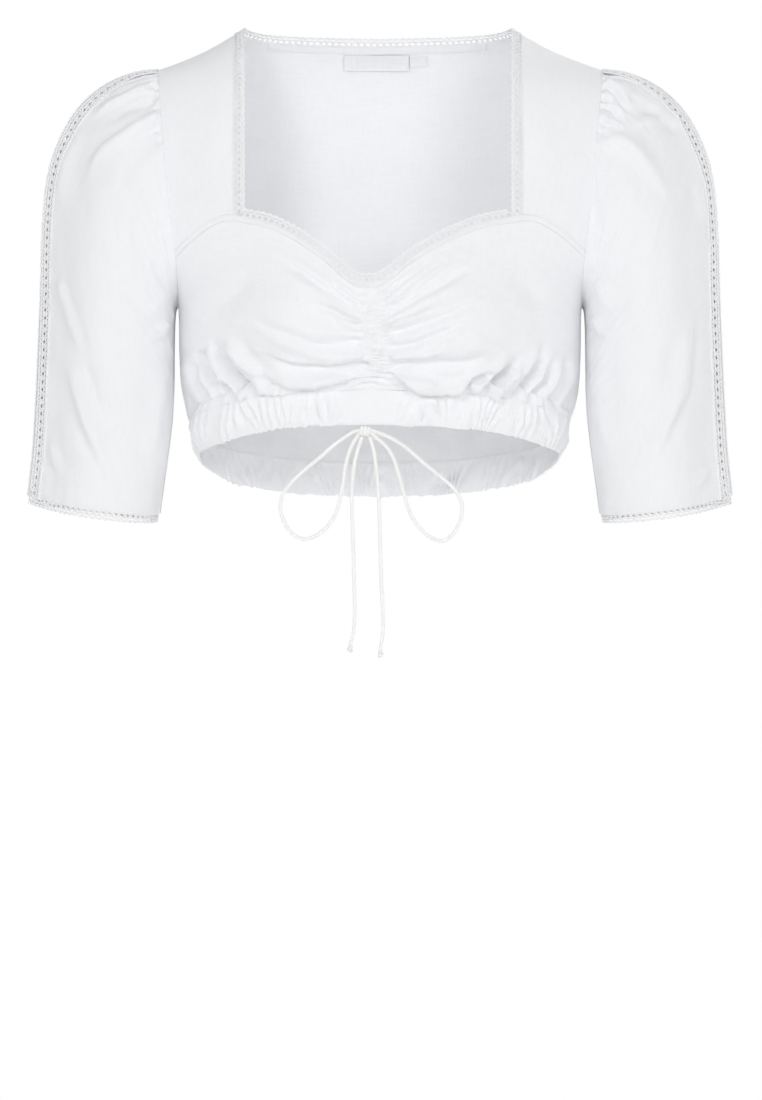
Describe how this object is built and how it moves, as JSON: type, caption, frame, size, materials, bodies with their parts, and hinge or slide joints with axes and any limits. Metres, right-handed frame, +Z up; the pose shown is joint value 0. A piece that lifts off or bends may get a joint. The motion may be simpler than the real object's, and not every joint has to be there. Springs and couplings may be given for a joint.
{
  "type": "dirndl blouse",
  "caption": "Cropped white cotton dirndl blouse with a sweetheart neck, lace edges, half sleeves with lace insertion, gathered hem band and a drawstring bow.",
  "frame": {"origin": "midway between the two neck points, on the shoulder line that carries the blouse", "axes": "+X to the viewer's right across the sleeves, +Y towards the back, +Z up"},
  "size_m": [0.5648, 0.2063, 0.5029],
  "materials": {
    "cotton": "plain-woven white cotton batiste, matt",
    "lace": "white cotton bobbin lace, matt thread",
    "label_satin": "white woven satin tape, soft sheen, bare",
    "cord": "ivory white braided cotton cord"
  },
  "bodies": {
    "root": {"front_bust": "cotton", "bust_band": "cotton", "front_shoulder_left": "cotton", "front_shoulder_right": "cotton", "back": "cotton", "hem_band_front": "cotton", "hem_band_back": "cotton", "back_neck_binding": "cotton", "sleeve_front_left": "cotton", "sleeve_front_right": "cotton", "sleeve_back_left": "cotton", "sleeve_back_right": "cotton", "neck_lace_front": "lace", "neck_lace_left": "lace", "neck_lace_right": "lace", "neck_lace_back": "lace", "sleeve_insertion_left": "lace", "sleeve_insertion_right": "lace", "cuff_lace_left": "lace", "cuff_lace_right": "lace", "label": "label_satin", "size_label": "label_satin", "tie_knot": "cord", "tie_loop_left": "cord", "tie_loop_right": "cord", "tie_tail_left": "cord", "tie_tail_right": "cord", "tie_end_left": "cord", "tie_end_right": "cord"}
  },
  "joints": []
}
